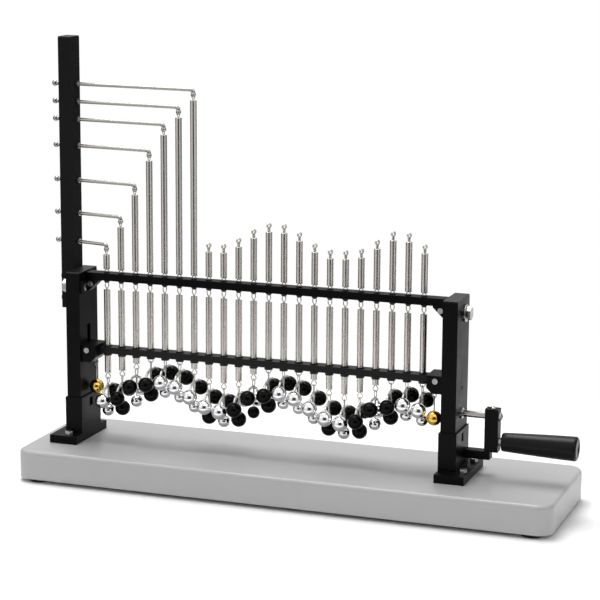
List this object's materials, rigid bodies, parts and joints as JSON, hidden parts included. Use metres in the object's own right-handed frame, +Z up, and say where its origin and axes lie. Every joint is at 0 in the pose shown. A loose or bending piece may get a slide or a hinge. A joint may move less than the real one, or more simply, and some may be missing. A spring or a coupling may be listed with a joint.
{
  "type": "spring wave demonstrator",
  "caption": "Bench wave demonstrator: a row of hanging springs between two bars on a slab base, each carrying a ball cluster, with a side mast of hook rods and a hand crank.",
  "frame": {"origin": "on the table under the middle of the whole outline", "axes": "+X along the row towards the crank, +Y to the back, +Z up"},
  "size_m": [0.5964, 0.158, 0.4732],
  "materials": {
    "grey_paint": "satin grey paint",
    "black_paint": "satin black paint",
    "black_steel": "blackened steel",
    "black_rubber": "matte",
    "black_plastic": "satin",
    "plain_steel": "plain",
    "polished_steel": "polished",
    "spring_steel": "drawn wire",
    "chrome": "mirror",
    "gold": "polished"
  },
  "bodies": {
    "frame": {"base_plate": "grey_paint", "rubber_feet": "black_rubber", "foot_screws": "plain_steel", "left_foot_bracket": "black_paint", "right_foot_bracket": "black_paint", "flange_bolts": "plain_steel", "left_post": "black_paint", "right_post": "black_paint", "tube_caps": "black_plastic", "mast": "black_paint", "mast_bolts": "black_steel", "mast_rods": "polished_steel", "rod_knobs": "chrome", "rod_collars": "polished_steel", "upper_bar": "black_paint", "lower_bar": "black_paint", "upper_gussets": "black_paint", "lower_blocks": "black_paint", "trim_screws": "polished_steel", "bar_bolts": "plain_steel", "bar_washers": "plain_steel", "upper_bushes": "black_plastic", "lower_bushes": "black_plastic", "hung_springs": "spring_steel", "standing_springs": "spring_steel", "lower_springs": "spring_steel", "crank_rest": "black_paint", "shaft_bushes": "plain_steel", "marker_hooks": "plain_steel"},
    "crank": {"crank_shaft": "polished_steel", "crank_arm": "black_paint", "arm_screws": "chrome", "grip_spindle": "polished_steel", "eccentric": "plain_steel"},
    "grip": {"grip": "black_plastic"},
    "exciter_link": {"exciter_link": "plain_steel"},
    "gold_left": {"gold_left": "gold"},
    "gold_right": {"gold_right": "gold"},
    "bob_01": {"bob_01": "chrome"},
    "bob_02": {"bob_02": "chrome"},
    "bob_03": {"bob_03": "chrome"},
    "bob_04": {"bob_04": "chrome"},
    "bob_05": {"bob_05": "chrome"},
    "bob_06": {"bob_06": "chrome"},
    "bob_07": {"bob_07": "chrome"},
    "bob_08": {"bob_08": "chrome"},
    "bob_09": {"bob_09": "chrome"},
    "bob_10": {"bob_10": "chrome"},
    "bob_11": {"bob_11": "chrome"},
    "bob_12": {"bob_12": "chrome"},
    "bob_13": {"bob_13": "chrome"},
    "bob_14": {"bob_14": "chrome"},
    "bob_15": {"bob_15": "chrome"},
    "bob_16": {"bob_16": "chrome"},
    "bob_17": {"bob_17": "chrome"},
    "bob_18": {"bob_18": "chrome"},
    "bob_19": {"bob_19": "chrome"},
    "bob_20": {"bob_20": "chrome"},
    "bob_21": {"bob_21": "chrome"},
    "bob_22": {"bob_22": "chrome"}
  },
  "joints": [
    {"name": "bob_slide_01", "type": "slide", "parent": "frame", "child": "bob_01", "axis": [0, 0, 1], "range_m": [-0.001, 0.014], "stiffness_N_per_m": 60, "springref_m": 0.00813, "deforming": ["lower_springs"]},
    {"name": "bob_slide_02", "type": "slide", "parent": "frame", "child": "bob_02", "axis": [0, 0, 1], "range_m": [-0.0048, 0.0232], "stiffness_N_per_m": 60, "springref_m": 0.00813, "deforming": ["lower_springs"]},
    {"name": "bob_slide_03", "type": "slide", "parent": "frame", "child": "bob_03", "axis": [0, 0, 1], "range_m": [-0.014, 0.014], "stiffness_N_per_m": 60, "springref_m": 0.00813, "deforming": ["lower_springs"]},
    {"name": "bob_slide_04", "type": "slide", "parent": "frame", "child": "bob_04", "axis": [0, 0, 1], "range_m": [-0.0232, 0.0048], "stiffness_N_per_m": 60, "springref_m": 0.00813, "deforming": ["lower_springs"]},
    {"name": "bob_slide_05", "type": "slide", "parent": "frame", "child": "bob_05", "axis": [0, 0, 1], "range_m": [-0.027, 0.001], "stiffness_N_per_m": 60, "springref_m": 0.00813, "deforming": ["lower_springs"]},
    {"name": "bob_slide_06", "type": "slide", "parent": "frame", "child": "bob_06", "axis": [0, 0, 1], "range_m": [-0.0232, 0.0048], "stiffness_N_per_m": 60, "springref_m": 0.00813, "deforming": ["lower_springs"]},
    {"name": "bob_slide_07", "type": "slide", "parent": "frame", "child": "bob_07", "axis": [0, 0, 1], "range_m": [-0.014, 0.014], "stiffness_N_per_m": 60, "springref_m": 0.00813, "deforming": ["lower_springs"]},
    {"name": "bob_slide_08", "type": "slide", "parent": "frame", "child": "bob_08", "axis": [0, 0, 1], "range_m": [-0.0048, 0.0232], "stiffness_N_per_m": 60, "springref_m": 0.00813, "deforming": ["lower_springs"]},
    {"name": "bob_slide_09", "type": "slide", "parent": "frame", "child": "bob_09", "axis": [0, 0, 1], "range_m": [-0.001, 0.027], "stiffness_N_per_m": 60, "springref_m": 0.00813, "deforming": ["lower_springs"]},
    {"name": "bob_slide_10", "type": "slide", "parent": "frame", "child": "bob_10", "axis": [0, 0, 1], "range_m": [-0.0048, 0.0232], "stiffness_N_per_m": 60, "springref_m": 0.00813, "deforming": ["lower_springs"]},
    {"name": "bob_slide_11", "type": "slide", "parent": "frame", "child": "bob_11", "axis": [0, 0, 1], "range_m": [-0.014, 0.014], "stiffness_N_per_m": 60, "springref_m": 0.00813, "deforming": ["lower_springs"]},
    {"name": "bob_slide_12", "type": "slide", "parent": "frame", "child": "bob_12", "axis": [0, 0, 1], "range_m": [-0.0232, 0.0048], "stiffness_N_per_m": 60, "springref_m": 0.00813, "deforming": ["lower_springs"]},
    {"name": "bob_slide_13", "type": "slide", "parent": "frame", "child": "bob_13", "axis": [0, 0, 1], "range_m": [-0.027, 0.001], "stiffness_N_per_m": 60, "springref_m": 0.00813, "deforming": ["lower_springs"]},
    {"name": "bob_slide_14", "type": "slide", "parent": "frame", "child": "bob_14", "axis": [0, 0, 1], "range_m": [-0.0232, 0.0048], "stiffness_N_per_m": 60, "springref_m": 0.00813, "deforming": ["lower_springs"]},
    {"name": "bob_slide_15", "type": "slide", "parent": "frame", "child": "bob_15", "axis": [0, 0, 1], "range_m": [-0.014, 0.014], "stiffness_N_per_m": 60, "springref_m": 0.00813, "deforming": ["lower_springs"]},
    {"name": "bob_slide_16", "type": "slide", "parent": "frame", "child": "bob_16", "axis": [0, 0, 1], "range_m": [-0.0048, 0.0232], "stiffness_N_per_m": 60, "springref_m": 0.00813, "deforming": ["lower_springs"]},
    {"name": "bob_slide_17", "type": "slide", "parent": "frame", "child": "bob_17", "axis": [0, 0, 1], "range_m": [-0.001, 0.027], "stiffness_N_per_m": 60, "springref_m": 0.00813, "deforming": ["lower_springs"]},
    {"name": "bob_slide_18", "type": "slide", "parent": "frame", "child": "bob_18", "axis": [0, 0, 1], "range_m": [-0.0048, 0.0232], "stiffness_N_per_m": 60, "springref_m": 0.00813, "deforming": ["lower_springs"]},
    {"name": "bob_slide_19", "type": "slide", "parent": "frame", "child": "bob_19", "axis": [0, 0, 1], "range_m": [-0.014, 0.014], "stiffness_N_per_m": 60, "springref_m": 0.00813, "deforming": ["lower_springs"]},
    {"name": "bob_slide_20", "type": "slide", "parent": "frame", "child": "bob_20", "axis": [0, 0, 1], "range_m": [-0.0232, 0.0048], "stiffness_N_per_m": 60, "springref_m": 0.00813, "deforming": ["lower_springs"]},
    {"name": "bob_slide_21", "type": "slide", "parent": "frame", "child": "bob_21", "axis": [0, 0, 1], "range_m": [-0.027, 0.001], "stiffness_N_per_m": 60, "springref_m": 0.00813, "deforming": ["lower_springs"]},
    {"name": "bob_slide_22", "type": "slide", "parent": "frame", "child": "bob_22", "axis": [0, 0, 1], "range_m": [-0.0232, 0.0048], "stiffness_N_per_m": 60, "springref_m": 0.00813, "deforming": ["lower_springs"]},
    {"name": "crank_turn", "type": "hinge", "parent": "frame", "child": "crank", "pos_m": [0.2018, 0, 0.1012], "axis": [1, 0, 0], "continuous": true},
    {"name": "grip_spin", "type": "hinge", "parent": "crank", "child": "grip", "pos_m": [0.2218, 0, 0.0747], "axis": [1, 0, 0], "continuous": true},
    {"name": "exciter_lift", "type": "slide", "parent": "frame", "child": "exciter_link", "axis": [0, 0, 1], "range_m": [0, 0.006]},
    {"name": "gold_left_swing", "type": "hinge", "parent": "frame", "child": "gold_left", "pos_m": [-0.2374, 0, 0.1184], "axis": [1, 0, 0], "range_deg": [-8, 8]},
    {"name": "gold_right_swing", "type": "hinge", "parent": "frame", "child": "gold_right", "pos_m": [0.15, -0.013, 0.1184], "axis": [1, 0, 0], "range_deg": [-8, 8]}
  ]
}
